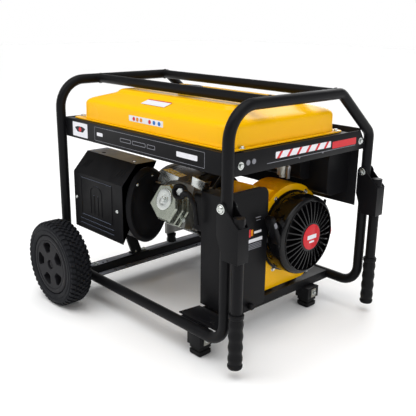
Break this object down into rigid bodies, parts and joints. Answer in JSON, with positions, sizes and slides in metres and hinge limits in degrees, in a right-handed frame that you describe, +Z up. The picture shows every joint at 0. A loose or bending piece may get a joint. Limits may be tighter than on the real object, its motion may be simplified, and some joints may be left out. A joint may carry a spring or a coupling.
{
  "type": "portable generator",
  "caption": "Open-frame portable generator: bent tube cage on wheels and feet, fuel tank on top, inclined engine with recoil starter, alternator and folding handles.",
  "frame": {"origin": "centre of the overall box, on the floor under the wheels and feet", "axes": "+Z up; +X from the wheels towards the feet and the recoil starter; -Y is the side of the cylinder head and exhaust, +Y the side of the control panel"},
  "size_m": [0.7384, 0.734, 0.613],
  "materials": {
    "frame_paint": "black powder coat, semi-gloss",
    "sheet_paint": "black powder coat on folded sheet",
    "tank_paint": "yellow gloss enamel",
    "heat_paint": "matt heat-resistant black",
    "cast_aluminium": "as cast",
    "zinc_casting": "die cast",
    "zinc_sheet": "zinc plated",
    "steel": "machined",
    "black_plastic": "moulded, fine grain",
    "guard_plastic": "moulded, smooth",
    "rim_plastic": "moulded, matt",
    "red_plastic": "moulded",
    "tyre": "block tread",
    "foot_rubber": "moulded",
    "grip_rubber": "ribbed",
    "lead_rubber": "smooth"
  },
  "bodies": {
    "generator": {"near_side_tube": "frame_paint", "far_side_tube": "frame_paint", "left_hoop_tube": "frame_paint", "right_hoop_tube": "frame_paint", "near_top_rail": "frame_paint", "far_top_rail": "frame_paint", "left_cross_rail": "sheet_paint", "right_cross_rail": "sheet_paint", "corner_plate": "sheet_paint", "near_foot": "foot_rubber", "far_foot": "foot_rubber", "near_belt_panel": "sheet_paint", "left_belt_panel": "sheet_paint", "right_belt_panel": "sheet_paint", "fuel_tank": "tank_paint", "fuel_valve": "zinc_casting", "crankcase": "cast_aluminium", "cylinder": "cast_aluminium", "valve_cover": "zinc_sheet", "spark_plug_lead": "lead_rubber", "carburettor": "zinc_casting", "air_cleaner": "black_plastic", "alternator_stator": "sheet_paint", "alternator_end_bell": "cast_aluminium", "alternator_mount": "foot_rubber", "engine_mount_near": "foot_rubber", "engine_mount_far": "foot_rubber", "fan_shroud": "tank_paint", "recoil_housing": "black_plastic", "engine_switch_box": "black_plastic", "muffler": "heat_paint", "muffler_shield": "heat_paint", "muffler_bracket": "sheet_paint", "side_guard": "guard_plastic", "control_panel": "sheet_paint", "control_box": "black_plastic", "outlet_1": "black_plastic", "outlet_2": "black_plastic", "breaker": "black_plastic", "near_axle_bracket": "sheet_paint", "far_axle_bracket": "sheet_paint", "near_pivot_bolt": "zinc_sheet", "far_pivot_bolt": "zinc_sheet"},
    "near_wheel": {"near_tyre": "tyre", "near_rim": "rim_plastic"},
    "far_wheel": {"far_tyre": "tyre", "far_rim": "rim_plastic"},
    "rotor": {"crankshaft": "steel", "flywheel_fan": "cast_aluminium", "alternator_rotor": "steel"},
    "pulley": {"recoil_pulley": "black_plastic"},
    "grip": {"pull_grip": "black_plastic"},
    "cap": {"fuel_cap": "black_plastic"},
    "valve_lever": {"fuel_valve_lever": "steel"},
    "toggle": {"breaker_toggle": "black_plastic"},
    "rocker": {"engine_switch_rocker": "red_plastic"},
    "near_handle": {"near_handle_bar": "frame_paint", "near_handle_grip": "grip_rubber"},
    "far_handle": {"far_handle_bar": "frame_paint", "far_handle_grip": "grip_rubber"}
  },
  "joints": [
    {"name": "near_wheel_spin", "type": "hinge", "parent": "generator", "child": "near_wheel", "pos_m": [-0.25125, -0.334, 0.118], "axis": [0, 1, 0], "continuous": true},
    {"name": "far_wheel_spin", "type": "hinge", "parent": "generator", "child": "far_wheel", "pos_m": [-0.25125, 0.334, 0.118], "axis": [0, 1, 0], "continuous": true},
    {"name": "rotor_spin", "type": "hinge", "parent": "generator", "child": "rotor", "pos_m": [0, 0.088, 0.235], "axis": [1, 0, 0], "continuous": true},
    {"name": "pulley_spin", "type": "hinge", "parent": "generator", "child": "pulley", "pos_m": [0.2261, 0.088, 0.235], "axis": [1, 0, 0], "range_deg": [0, 490], "stiffness_Nm_per_rad": 0.04, "springref_deg": -229.18},
    {"name": "grip_pull", "type": "slide", "parent": "generator", "child": "grip", "axis": [0, -0.9063, -0.4226], "range_m": [0, 0.5]},
    {"name": "cap_turn", "type": "hinge", "parent": "generator", "child": "cap", "pos_m": [-0.03125, -0.052, 0.59], "axis": [0, 0, 1], "range_deg": [0, 90]},
    {"name": "valve_lever_turn", "type": "hinge", "parent": "generator", "child": "valve_lever", "pos_m": [0.2139, 0.062, 0.408], "axis": [1, 0, 0], "range_deg": [0, 90]},
    {"name": "toggle_tip", "type": "hinge", "parent": "generator", "child": "toggle", "pos_m": [0.14075, 0.24, 0.406], "axis": [1, 0, 0], "range_deg": [-18, 18]},
    {"name": "rocker_tip", "type": "hinge", "parent": "generator", "child": "rocker", "pos_m": [0.23305, 0.227, 0.209], "axis": [0, 1, 0], "range_deg": [-10, 10]},
    {"name": "near_handle_fold", "type": "hinge", "parent": "generator", "child": "near_handle", "pos_m": [0.31575, -0.257, 0.389], "axis": [0, -1, 0], "range_deg": [0, 90]},
    {"name": "far_handle_fold", "type": "hinge", "parent": "generator", "child": "far_handle", "pos_m": [0.31575, 0.257, 0.389], "axis": [0, -1, 0], "range_deg": [0, 90]}
  ],
  "couplings": [
    {"joint": "grip_pull", "follows": "pulley_spin", "m_per_rad": 0.058}
  ]
}
